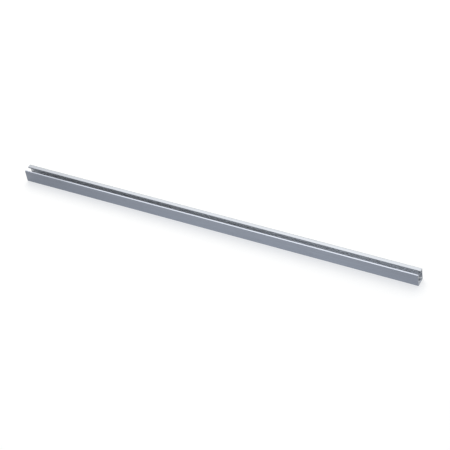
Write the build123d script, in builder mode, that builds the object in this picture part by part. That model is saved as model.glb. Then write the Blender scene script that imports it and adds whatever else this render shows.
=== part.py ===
from build123d import *
from math import atan2, cos, tan
import os

os.makedirs("parts", exist_ok=True)

# A length of aluminium hook-slot profile: one piece of extruded stock, sawn square at both ends.
# Millimetres. X runs along the bar, Y from the front face to the back face, +Z up.
# The origin is under the middle of the bar, on the bottom face.

# Stock
stock_length = 1000.0
profile_width = 24.0
profile_height = 32.0
wall = 2.0
bottom_corner_radius = 0.9
top_corner_radius = 0.8
inner_radius = 0.5

# Slot mouth between the narrow front lip and the wide back lip
front_lip_width = 3.7
front_lip_thickness = 2.4
front_mouth_chamfer = 0.3
mouth_width = 11.1
back_lip_thickness = 3.8
back_mouth_chamfer = 0.4

# Pocket under the lips: a ramp leads a hook down from the front wall to a toe under the back lip
ramp_top_depth = 6.2
pocket_floor_height = 9.2
toe_width = 3.4
web_thickness = 2.5

# Screw boss in the lower front corner, with a core hole for a tapping screw in either end
core_hole_radius = 1.8
core_hole_inset = 4.4
boss_wall = 4.2

# Faces and levels of the section
front_face = -profile_width / 2
back_face = profile_width / 2
front_wall = front_face + wall
back_wall = back_face - wall
mouth_front = front_face + front_lip_width
mouth_back = mouth_front + mouth_width
front_lip_underside = profile_height - front_lip_thickness
back_lip_underside = profile_height - back_lip_thickness
ramp_top = profile_height - ramp_top_depth
ramp_foot = back_wall - toe_width
ramp_angle = atan2(ramp_top - pocket_floor_height, ramp_foot - front_wall)

# The chamber below the web follows the ramp and the toe at the web's thickness
chamber_top = pocket_floor_height - web_thickness
chamber_shoulder = ramp_top - web_thickness / cos(ramp_angle)
chamber_crease = ramp_foot - web_thickness * tan(ramp_angle / 2)

# The boss is a corner block, rounded about the core hole
core_hole_y = front_face + core_hole_inset
core_hole_z = core_hole_inset
boss_radius = core_hole_radius + boss_wall
boss_side = core_hole_inset + boss_radius - wall

# Outer outline
with BuildSketch() as outline:
    with Locations((0, profile_height / 2)):
        Rectangle(profile_width, profile_height)
    fillet(outline.vertices().group_by(Axis.Y)[0], bottom_corner_radius)
    fillet(outline.vertices().group_by(Axis.Y)[-1], top_corner_radius)

# Mouth and pocket, open at the top
with BuildSketch() as slot:
    with BuildLine():
        Polyline(
            (mouth_front - front_mouth_chamfer, profile_height),
            (mouth_front, profile_height - front_mouth_chamfer),
            (mouth_front, front_lip_underside),
            (front_wall, front_lip_underside),
            (front_wall, ramp_top),
            (ramp_foot, pocket_floor_height),
            (back_wall, pocket_floor_height),
            (back_wall, back_lip_underside),
            (mouth_back, back_lip_underside),
            (mouth_back, profile_height - back_mouth_chamfer),
            (mouth_back + back_mouth_chamfer, profile_height),
            close=True,
        )
    make_face()
    lip_level = max(front_lip_underside, back_lip_underside)
    fillet(slot.vertices().filter_by_position(Axis.Y, pocket_floor_height, lip_level), inner_radius)

# Corner block of the screw boss, inside the walls
with BuildSketch() as boss:
    with Locations((front_wall, wall)):
        Rectangle(boss_side, boss_side, align=(Align.MIN, Align.MIN))
    fillet(boss.vertices().sort_by_distance((front_wall, wall))[-1], boss_radius)

# Closed chamber below the web, around the boss
with BuildSketch() as chamber:
    with BuildLine():
        Polyline(
            (front_wall, wall),
            (back_wall, wall),
            (back_wall, chamber_top),
            (chamber_crease, chamber_top),
            (front_wall, chamber_shoulder),
            close=True,
        )
    make_face()
    add(boss.sketch, mode=Mode.SUBTRACT)
    boss_round = chamber.edges().filter_by(GeomType.CIRCLE)
    fillet(chamber.vertices() - boss_round.vertices(), inner_radius)

# Extruded stock
with BuildPart() as extrusion_profile:
    with BuildSketch(Plane.YZ):
        add(outline.sketch)
        add(slot.sketch, mode=Mode.SUBTRACT)
        add(chamber.sketch, mode=Mode.SUBTRACT)
        with Locations((core_hole_y, core_hole_z)):
            Circle(core_hole_radius, mode=Mode.SUBTRACT)
    extrude(amount=stock_length / 2, both=True)

extrusion_profile.part.label = "extrusion_profile"
export_step(extrusion_profile.part, "parts/extrusion_profile.step")
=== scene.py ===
import math

import bpy
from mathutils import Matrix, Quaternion, Vector


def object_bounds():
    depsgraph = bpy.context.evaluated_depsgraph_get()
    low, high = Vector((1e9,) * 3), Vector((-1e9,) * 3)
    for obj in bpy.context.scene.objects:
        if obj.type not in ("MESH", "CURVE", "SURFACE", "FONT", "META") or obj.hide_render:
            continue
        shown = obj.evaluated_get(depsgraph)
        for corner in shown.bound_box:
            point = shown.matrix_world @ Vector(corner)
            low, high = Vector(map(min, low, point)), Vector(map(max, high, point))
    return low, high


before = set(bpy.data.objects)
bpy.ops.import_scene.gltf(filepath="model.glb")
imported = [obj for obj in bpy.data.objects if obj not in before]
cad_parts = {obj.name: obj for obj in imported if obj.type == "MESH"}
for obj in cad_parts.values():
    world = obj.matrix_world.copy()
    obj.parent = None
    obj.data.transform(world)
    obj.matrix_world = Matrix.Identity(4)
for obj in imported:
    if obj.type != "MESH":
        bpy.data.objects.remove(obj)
cad_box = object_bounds()

# Metres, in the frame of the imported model: X runs along the bar, -Y is its front face, +Z is up.

# Camera: a long lens that looks down on the bar from the front, past its right-hand end
CAMERA_AZIMUTH = math.radians(34.022)
CAMERA_ELEVATION = math.radians(44.271)
CAMERA_ROLL = math.radians(10.257)
CAMERA_DISTANCE = 3.6802
CAMERA_TARGET = Vector((0.03597, -0.012, 0.03024))
SENSOR_WIDTH_MM = 36.0
LENS_MM = 131.32
CLIP_START = 0.05
CLIP_END = 60.0

# Floor: pale, lit by the lamps, and filled up towards white for the camera and for reflections
FLOOR_SIZE = 30.0
FLOOR_COLOUR = (0.52, 0.52, 0.52)
FLOOR_FILL = 0.54

# Light: an even, slightly cool room and one large soft box behind the bar
WHITE = (1.0, 1.0, 1.0)
ROOM_COLOUR = (0.93, 0.98, 1.06)
ROOM_STRENGTH = 0.66
SOFT_BOX_SIZE = 3.2
SOFT_BOX_DISTANCE = 3.0
SOFT_BOX_COLOUR = (1.08, 1.0, 0.84)
SOFT_BOX_RADIANCE = 1.77
SOFT_BOX_AIM = Vector((0.6, 0.0, 0.03))

# Metal: satin outside, with a painted highlight on the front lip; brighter in the slot and the matt
# chamber, painted light that lifts their shade; pale where sawn
OUTSIDE_COLOUR = (0.308, 0.337, 0.396)
FRONT_LIP_HIGHLIGHT_COLOUR = (0.341, 0.377, 0.465)
INSIDE_PAINTED_LIGHT_COLOUR = (0.72, 0.745, 0.785)
CHAMBER_PAINTED_LIGHT_COLOUR = (0.75, 0.775, 0.81)
SAWN_COLOUR = (0.42, 0.445, 0.485)
METALLIC = 1.0
OUTSIDE_ROUGHNESS = 0.36
INSIDE_ROUGHNESS = 0.47
CHAMBER_ROUGHNESS = 0.72
SAWN_ROUGHNESS = 0.46
ANISOTROPY = 0.35

# In the names below a TONE is a factor of brightness, and CONTRAST, DULLING, SHADE and BRIGHTENING are
# shares of brightness. ROUGHENING is a share of roughness.

# Where the outside turns to the inside: depth behind a side or the bottom, and below the lips' top
WALL_SKIN = 0.0004
WALL_BARE = 0.0018
MOUTH_SKIN = 0.0020
MOUTH_BARE = 0.0042

# Middle of the web over the chamber: level at the back, and Y + Z where it slopes at 45 degrees
WEB_LEVEL = 0.0080
WEB_SLOPE = 0.0140
WEB_BLEND = 0.0004

# Components of a normal that tell a sawn end from a drawn face
SAWN_FROM = 0.6
SAWN_FULL = 0.9

# Values between which a noise mostly lies, and its octaves where the pattern is fine
NOISE_LOW = 0.25
NOISE_HIGH = 0.75
NOISE_MIDDLE = (NOISE_LOW + NOISE_HIGH) / 2
NOISE_SWING = (NOISE_HIGH - NOISE_LOW) / 2
FINE_DETAIL = 3.0

# Die lines run along the bar: fine in depth and roughness, broad in tone
LINE_STRETCH = 0.004
FINE_LINES_PER_METRE = 5200.0
BROAD_LINES_PER_METRE = 620.0
BROAD_LINES_NOISE_ROUGHNESS = 0.6
BROAD_LINES_SHARE = 0.35
LINE_DEPTH = 0.000012
LINE_CONTRAST = 0.05
LINE_ROUGHENING = 0.10

# Slow drift along the bar, brighter where it is smoother
DRIFT_PER_METRE = 5.0
DRIFT_CONTRAST = 0.02
DRIFT_ROUGHENING = 0.03

# Dull handling marks on the outside, longer than they are high
MARKS_STRETCH = 0.35
MARKS_PER_METRE = 38.0
MARKS_DETAIL = 6.0
MARKS_NOISE_ROUGHNESS = 0.62
MARKS_FROM = 0.56
MARKS_FULL = 0.70
MARKS_DULLING = 0.05
MARKS_ROUGHENING = 0.09

# Walls get painted shade: brightest near the middle and less by the square of the distance, for light
# that falls off along the bar;
# painted light paler at the foot and painted shade at the top even out the floor shadow that they
# reflect
WALLS_MOST_LIT_X = 0.12
WALLS_SHADE_FALL_OFF = 0.70
WALL_FOOT_LIGHT_TONE = 1.05
WALL_TOP_SHADE_TONE = 0.90

# Painted shade makes the lips darker to the left, and the narrow front lip gets a painted highlight in
# a paler colour
LIPS_SHADED_X = -0.62
LIPS_LIT_X = -0.22
LIPS_SHADED_TONE = 0.70
LIPS_LIT_TONE = 0.958
FRONT_LIP_BACK_Y = -0.0083
FRONT_LIP_BLEND = 0.0010

# Painted light and shade make the slot and the chamber darker to the left than to the right, and
# painted shade darkens the slot just inside its sawn ends
SLOT_SHADED_X = -1.0
SLOT_LIT_X = 1.0
SLOT_SHADED_TONE = 0.73
SLOT_LIT_TONE = 1.135
SLOT_END_LENGTH = 0.015
SLOT_END_SHADE = 0.25

# Rounded outer corners get painted shade, darker than the flats, and so does a band along the wide
# lip's back edge.
# NEAR and FAR are distances from the side face, and UPWARD is the part of the normal that points up.
CORNER_NEAR = 0.0009
CORNER_FAR = 0.0018
CORNER_SHADE = 0.20
BACK_BAND_NEAR = 0.0010
BACK_BAND_FAR = 0.0018
BACK_BAND_SHADE = 0.24
UPWARD_FROM = 0.2
UPWARD_FULL = 0.6

# Edges rubbed bright, where the rounded normal leaves the true one by these cosines
EDGE_RADIUS = 0.0004
EDGE_SAMPLES = 6
EDGE_FROM = 0.995
EDGE_FULL = 0.90
EDGE_BRIGHTENING = 0.18

# Saw marks: arcs about the hub of a large blade, in front of the bar and below it, with fine grit
BLADE_HUB = (0.0, -0.15, -0.06)
ARCS_PER_METRE = 2600.0
WOBBLE_PER_METRE = 180.0
WOBBLE_RADIANS = 5.0
GRIT_PER_METRE = 3800.0
GRIT_SHARE = 0.5
GRIT_ROUGHENING = 0.12
SAW_MARK_DEPTH = 0.00002
SAW_MARK_CONTRAST = 0.12

# The sawn ends are darker at the lips than at the foot
SAWN_BRIGHT_Z = 0.010
SAWN_DULL_Z = 0.026
SAWN_DULL_TONE = 0.66


class Graph:
    """Short calls for the nodes of one material or world."""

    def __init__(self, owner):
        owner.use_nodes = True
        self.tree = owner.node_tree
        self.tree.nodes.clear()

    def feed(self, socket, value):
        """Link the socket to another, or set its value."""
        if isinstance(value, bpy.types.NodeSocket):
            self.tree.links.new(value, socket)
        elif socket.type == "RGBA":
            socket.default_value = (*value, 1.0)
        else:
            socket.default_value = value

    def node(self, kind, inputs=None, **settings):
        """A new node, with inputs by name or number."""
        made = self.tree.nodes.new(kind)
        for name, value in settings.items():
            setattr(made, name, value)
        for name, value in (inputs or {}).items():
            self.feed(made.inputs[name], value)
        return made

    def math(self, operation, *values):
        return self.node("ShaderNodeMath", dict(enumerate(values)), operation=operation).outputs[0]

    def product(self, first, *others):
        for other in others:
            first = self.math("MULTIPLY", first, other)
        return first

    def lift(self, mask, amount):
        """1 where the mask is 0, and 1 + amount where it is 1."""
        return self.math("MULTIPLY_ADD", mask, amount, 1.0)

    def ramp(self, value, low, high, to_low=0.0, to_high=1.0):
        """A smooth step from to_low to to_high, as value goes from low to high."""
        made = self.node("ShaderNodeMapRange", {
            "Value": value,
            "From Min": low,
            "From Max": high,
            "To Min": to_low,
            "To Max": to_high,
        }, interpolation_type="SMOOTHSTEP")
        return made.outputs["Result"]

    def swing(self, noise, amount):
        """1 plus or minus amount, as the noise goes from low to high."""
        return self.ramp(noise, NOISE_LOW, NOISE_HIGH, 1.0 - amount, 1.0 + amount)

    def split(self, vector):
        return self.node("ShaderNodeSeparateXYZ", {0: vector}).outputs

    def vector(self, operation, output, *values):
        made = self.node("ShaderNodeVectorMath", dict(enumerate(values)), operation=operation)
        return made.outputs[output]

    def stretched(self, vector, factors):
        return self.vector("MULTIPLY", "Vector", vector, factors)

    def noise(self, vector, scale, detail=2.0, roughness=0.5):
        made = self.node("ShaderNodeTexNoise", {
            "Vector": vector,
            "Scale": scale,
            "Detail": detail,
            "Roughness": roughness,
        })
        return made.outputs["Fac"]

    def mix(self, factor, a, b):
        """a where the factor is 0, b where it is 1. A Mix node has its numbers at 2 and 3."""
        made = self.node("ShaderNodeMix", {0: factor, 2: a, 3: b}, data_type="FLOAT")
        return made.outputs[0]

    def mix_colours(self, factor, a, b):
        """The same for colours, which a Mix node has at 6 and 7."""
        made = self.node("ShaderNodeMix", {0: factor, 6: a, 7: b}, data_type="RGBA")
        return made.outputs[2]


def direction(azimuth, elevation):
    """Unit vector from the object towards a place at that azimuth and elevation."""
    return Vector((
        math.sin(azimuth) * math.cos(elevation),
        -math.cos(azimuth) * math.cos(elevation),
        math.sin(elevation),
    ))


def add_camera():
    data = bpy.data.cameras.new("camera")
    data.sensor_fit = "HORIZONTAL"
    data.sensor_width = SENSOR_WIDTH_MM
    data.lens = LENS_MM
    data.clip_start = CLIP_START
    data.clip_end = CLIP_END
    camera = bpy.data.objects.new("camera", data)
    bpy.context.scene.collection.objects.link(camera)
    back = direction(CAMERA_AZIMUTH, CAMERA_ELEVATION)
    camera.location = CAMERA_TARGET + back * CAMERA_DISTANCE
    level = (-back).to_track_quat("-Z", "Y")
    camera.rotation_mode = "QUATERNION"
    camera.rotation_quaternion = level @ Quaternion((0, 0, 1), -CAMERA_ROLL)
    bpy.context.scene.camera = camera


def seen_or_reflected(g):
    """1 for camera, glossy and transmission rays, 0 for the rays that light the object."""
    rays = g.node("ShaderNodeLightPath").outputs
    seen = g.math("MAXIMUM", rays["Is Camera Ray"], rays["Is Glossy Ray"])
    return g.math("MAXIMUM", seen, rays["Is Transmission Ray"])


def add_world():
    """The room lights the object, and the camera and reflections see plain white."""
    world = bpy.data.worlds.new("studio")
    bpy.context.scene.world = world
    world.cycles.sampling_method = "NONE"
    g = Graph(world)
    room = g.node("ShaderNodeBackground", {"Color": ROOM_COLOUR, "Strength": ROOM_STRENGTH})
    backdrop = g.node("ShaderNodeBackground", {"Color": WHITE, "Strength": 1.0})
    either = g.node("ShaderNodeMixShader", {
        0: seen_or_reflected(g),
        1: room.outputs[0],
        2: backdrop.outputs[0],
    })
    g.node("ShaderNodeOutputWorld", {"Surface": either.outputs[0]})


def add_floor():
    half = FLOOR_SIZE / 2
    corners = [(-half, -half, 0), (half, -half, 0), (half, half, 0), (-half, half, 0)]
    mesh = bpy.data.meshes.new("floor")
    mesh.from_pydata(corners, [], [(0, 1, 2, 3)])
    floor = bpy.data.objects.new("floor", mesh)
    bpy.context.scene.collection.objects.link(floor)
    material = bpy.data.materials.new("floor")
    material.cycles.emission_sampling = "NONE"
    g = Graph(material)
    lit = g.node("ShaderNodeBsdfDiffuse", {"Color": FLOOR_COLOUR})
    fill = g.node("ShaderNodeEmission", {"Strength": g.product(seen_or_reflected(g), FLOOR_FILL)})
    both = g.node("ShaderNodeAddShader", {0: lit.outputs[0], 1: fill.outputs[0]})
    g.node("ShaderNodeOutputMaterial", {"Surface": both.outputs[0]})
    mesh.materials.append(material)


def add_soft_box():
    """A soft box behind the bar, where the level lips mirror it to the camera."""
    data = bpy.data.lights.new("soft_box", "AREA")
    data.shape = "SQUARE"
    data.size = SOFT_BOX_SIZE
    data.color = SOFT_BOX_COLOUR
    data.energy = SOFT_BOX_RADIANCE * math.pi * SOFT_BOX_SIZE ** 2
    light = bpy.data.objects.new("soft_box", data)
    bpy.context.scene.collection.objects.link(light)
    light.visible_camera = False
    mirrored = direction(CAMERA_AZIMUTH + math.pi, CAMERA_ELEVATION)
    light.location = SOFT_BOX_AIM + mirrored * SOFT_BOX_DISTANCE
    light.rotation_mode = "QUATERNION"
    light.rotation_quaternion = (-mirrored).to_track_quat("-Z", "Y")


class Spot:
    """Where a point of the bar lies and which way it faces, with masks for the parts of the bar."""

    def __init__(self, g):
        place = g.node("ShaderNodeTexCoord").outputs
        self.at = place["Object"]
        self.x, self.y, self.z = g.split(self.at)
        face_x, self.face_y, self.face_z = g.split(place["Normal"])
        self.sawn = g.ramp(g.math("ABSOLUTE", face_x), SAWN_FROM, SAWN_FULL)

        # Depth below the outline: 1 in the slot and in the chamber
        self.behind_side = g.math("SUBTRACT", cad_box[1].y, g.math("ABSOLUTE", self.y))
        behind_wall = g.ramp(g.math("MINIMUM", self.behind_side, self.z), WALL_SKIN, WALL_BARE)
        below_mouth = g.ramp(g.math("SUBTRACT", cad_box[1].z, self.z), MOUTH_SKIN, MOUTH_BARE)
        self.inside = g.product(behind_wall, below_mouth)

        # Depth below the middle of the web: 1 in the chamber
        web_middle = g.math("MAXIMUM", WEB_LEVEL, g.math("SUBTRACT", WEB_SLOPE, self.y))
        self.below_web = g.ramp(g.math("SUBTRACT", web_middle, self.z), 0.0, WEB_BLEND)


def outside_painted_shading(g, spot):
    """Painted light and shade of the upright walls and of the level lips and foot."""
    off = g.math("SUBTRACT", spot.x, WALLS_MOST_LIT_X)
    walls = g.product(
        g.lift(g.product(off, off), -WALLS_SHADE_FALL_OFF),
        g.ramp(spot.z, 0.0, cad_box[1].z, WALL_FOOT_LIGHT_TONE, WALL_TOP_SHADE_TONE),
    )
    lips = g.ramp(spot.x, LIPS_SHADED_X, LIPS_LIT_X, LIPS_SHADED_TONE, LIPS_LIT_TONE)
    return g.mix(g.math("ABSOLUTE", spot.face_z), walls, lips)


def inside_painted_shading(g, spot):
    """Painted light and shade of the slot, and of the chamber, whose ends aren't darkened."""
    near_end = g.ramp(g.math("ABSOLUTE", spot.x), cad_box[1].x - SLOT_END_LENGTH, cad_box[1].x)
    return g.product(
        g.ramp(spot.x, SLOT_SHADED_X, SLOT_LIT_X, SLOT_SHADED_TONE, SLOT_LIT_TONE),
        g.lift(g.mix(spot.below_web, near_end, 0.0), -SLOT_END_SHADE),
    )


def corner_painted_shade(g, spot):
    """Painted shade of the rounded corners and of the back band."""
    # 1 where the surface is tilted by 45 degrees, 0 where it is level or upright
    tilt = g.math("ABSOLUTE", g.product(spot.face_y, spot.face_z, 2.0))
    corner = g.product(tilt, g.ramp(spot.behind_side, CORNER_FAR, CORNER_NEAR))
    back_band = g.product(
        g.ramp(g.math("SUBTRACT", cad_box[1].y, spot.y), BACK_BAND_FAR, BACK_BAND_NEAR),
        g.ramp(spot.face_z, UPWARD_FROM, UPWARD_FULL),
    )
    return g.product(g.lift(corner, -CORNER_SHADE), g.lift(back_band, -BACK_BAND_SHADE))


def drawn_finish(g, spot):
    """Tone, roughness and relief of the faces that the die has left; the tone holds painted light and
    shade as well as the lines and marks.
    """
    along = g.stretched(spot.at, (LINE_STRETCH, 1.0, 1.0))
    fine_lines = g.noise(along, FINE_LINES_PER_METRE, FINE_DETAIL)
    broad_lines = g.noise(along, BROAD_LINES_PER_METRE, FINE_DETAIL, BROAD_LINES_NOISE_ROUGHNESS)
    drift = g.noise(spot.at, DRIFT_PER_METRE)
    longer = g.stretched(spot.at, (MARKS_STRETCH, 1.0, 1.0))
    smears = g.noise(longer, MARKS_PER_METRE, MARKS_DETAIL, MARKS_NOISE_ROUGHNESS)
    marks = g.product(g.ramp(smears, MARKS_FROM, MARKS_FULL), g.lift(spot.inside, -1.0))
    tone = g.product(
        g.swing(broad_lines, LINE_CONTRAST),
        g.swing(drift, DRIFT_CONTRAST),
        g.lift(marks, -MARKS_DULLING),
        g.mix(spot.inside, outside_painted_shading(g, spot), inside_painted_shading(g, spot)),
        corner_painted_shade(g, spot),
    )
    uneven = g.product(g.swing(fine_lines, LINE_ROUGHENING), g.swing(drift, -DRIFT_ROUGHENING))
    uneven = g.math("MULTIPLY_ADD", marks, MARKS_ROUGHENING, uneven)
    inner_roughness = g.mix(spot.below_web, INSIDE_ROUGHNESS, CHAMBER_ROUGHNESS)
    roughness = g.product(g.mix(spot.inside, OUTSIDE_ROUGHNESS, inner_roughness), uneven)
    relief = g.product(g.mix(BROAD_LINES_SHARE, fine_lines, broad_lines), LINE_DEPTH)
    return tone, roughness, relief


def sawn_finish(g, spot):
    """Tone, roughness and relief of the sawn ends."""
    from_hub = g.vector("DISTANCE", "Value", g.stretched(spot.at, (0.0, 1.0, 1.0)), BLADE_HUB)
    wobble = g.product(g.noise(spot.at, WOBBLE_PER_METRE), WOBBLE_RADIANS)
    turns = g.math("MULTIPLY_ADD", from_hub, ARCS_PER_METRE * math.tau, wobble)
    arcs = g.math("MULTIPLY_ADD", g.math("SINE", turns), NOISE_SWING, NOISE_MIDDLE)
    grit = g.noise(spot.at, GRIT_PER_METRE, FINE_DETAIL)
    saw_marks = g.mix(GRIT_SHARE, arcs, grit)
    tone = g.product(
        g.swing(saw_marks, SAW_MARK_CONTRAST),
        g.ramp(spot.z, SAWN_BRIGHT_Z, SAWN_DULL_Z, 1.0, SAWN_DULL_TONE),
    )
    roughness = g.product(g.swing(grit, GRIT_ROUGHENING), SAWN_ROUGHNESS)
    relief = g.product(saw_marks, SAW_MARK_DEPTH)
    return tone, roughness, relief


def rubbed_edges(g):
    """The normal rounded over the edges, and a mask that is 1 where it leaves the true one."""
    rounded = g.node("ShaderNodeBevel", {"Radius": EDGE_RADIUS}, samples=EDGE_SAMPLES).outputs[0]
    true = g.node("ShaderNodeNewGeometry").outputs["Normal"]
    cosine = g.vector("DOT_PRODUCT", "Value", rounded, true)
    return rounded, g.ramp(cosine, EDGE_FROM, EDGE_FULL)


def metal_colour(g, spot):
    """Colour of each part of the bar, before its tone, with painted light in the slot and the chamber
    and a painted highlight on the front lip.
    """
    # The top of the front lip takes a paler, bluer colour: a painted highlight.
    near_front = g.ramp(spot.y, FRONT_LIP_BACK_Y + FRONT_LIP_BLEND, FRONT_LIP_BACK_Y)
    front_lip_highlight = g.product(g.math("MAXIMUM", spot.face_z, 0.0), near_front)
    outer = g.mix_colours(front_lip_highlight, OUTSIDE_COLOUR, FRONT_LIP_HIGHLIGHT_COLOUR)
    # The slot and the chamber take paler colours: painted light that lifts their shade.
    inner = g.mix_colours(spot.below_web, INSIDE_PAINTED_LIGHT_COLOUR, CHAMBER_PAINTED_LIGHT_COLOUR)
    return g.mix_colours(spot.sawn, g.mix_colours(spot.inside, outer, inner), SAWN_COLOUR)


def aluminium():
    material = bpy.data.materials.new("aluminium_satin")
    g = Graph(material)
    spot = Spot(g)
    drawn_tone, drawn_roughness, drawn_relief = drawn_finish(g, spot)
    sawn_tone, sawn_roughness, sawn_relief = sawn_finish(g, spot)
    rounded_normal, edge = rubbed_edges(g)
    tone = g.product(g.mix(spot.sawn, drawn_tone, sawn_tone), g.lift(edge, EDGE_BRIGHTENING))
    toned = g.node("ShaderNodeVectorMath", {0: metal_colour(g, spot), "Scale": tone}, operation="SCALE")
    relief = g.node("ShaderNodeBump", {
        "Strength": 1.0,
        "Distance": 1.0,
        "Height": g.mix(spot.sawn, drawn_relief, sawn_relief),
        "Normal": rounded_normal,
    })
    around = g.node("ShaderNodeTangent", direction_type="RADIAL", axis="X")
    metal = g.node("ShaderNodeBsdfPrincipled", {
        "Base Color": toned.outputs[0],
        "Metallic": METALLIC,
        "Roughness": g.mix(spot.sawn, drawn_roughness, sawn_roughness),
        "Anisotropic": ANISOTROPY,
        "Tangent": around.outputs[0],
        "Normal": relief.outputs[0],
    })
    g.node("ShaderNodeOutputMaterial", {"Surface": metal.outputs[0]})
    return material


bpy.context.scene.view_settings.view_transform = "Standard"
add_camera()
add_world()
add_floor()
add_soft_box()
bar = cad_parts["extrusion_profile"]
bar.material_slots[0].material = aluminium()
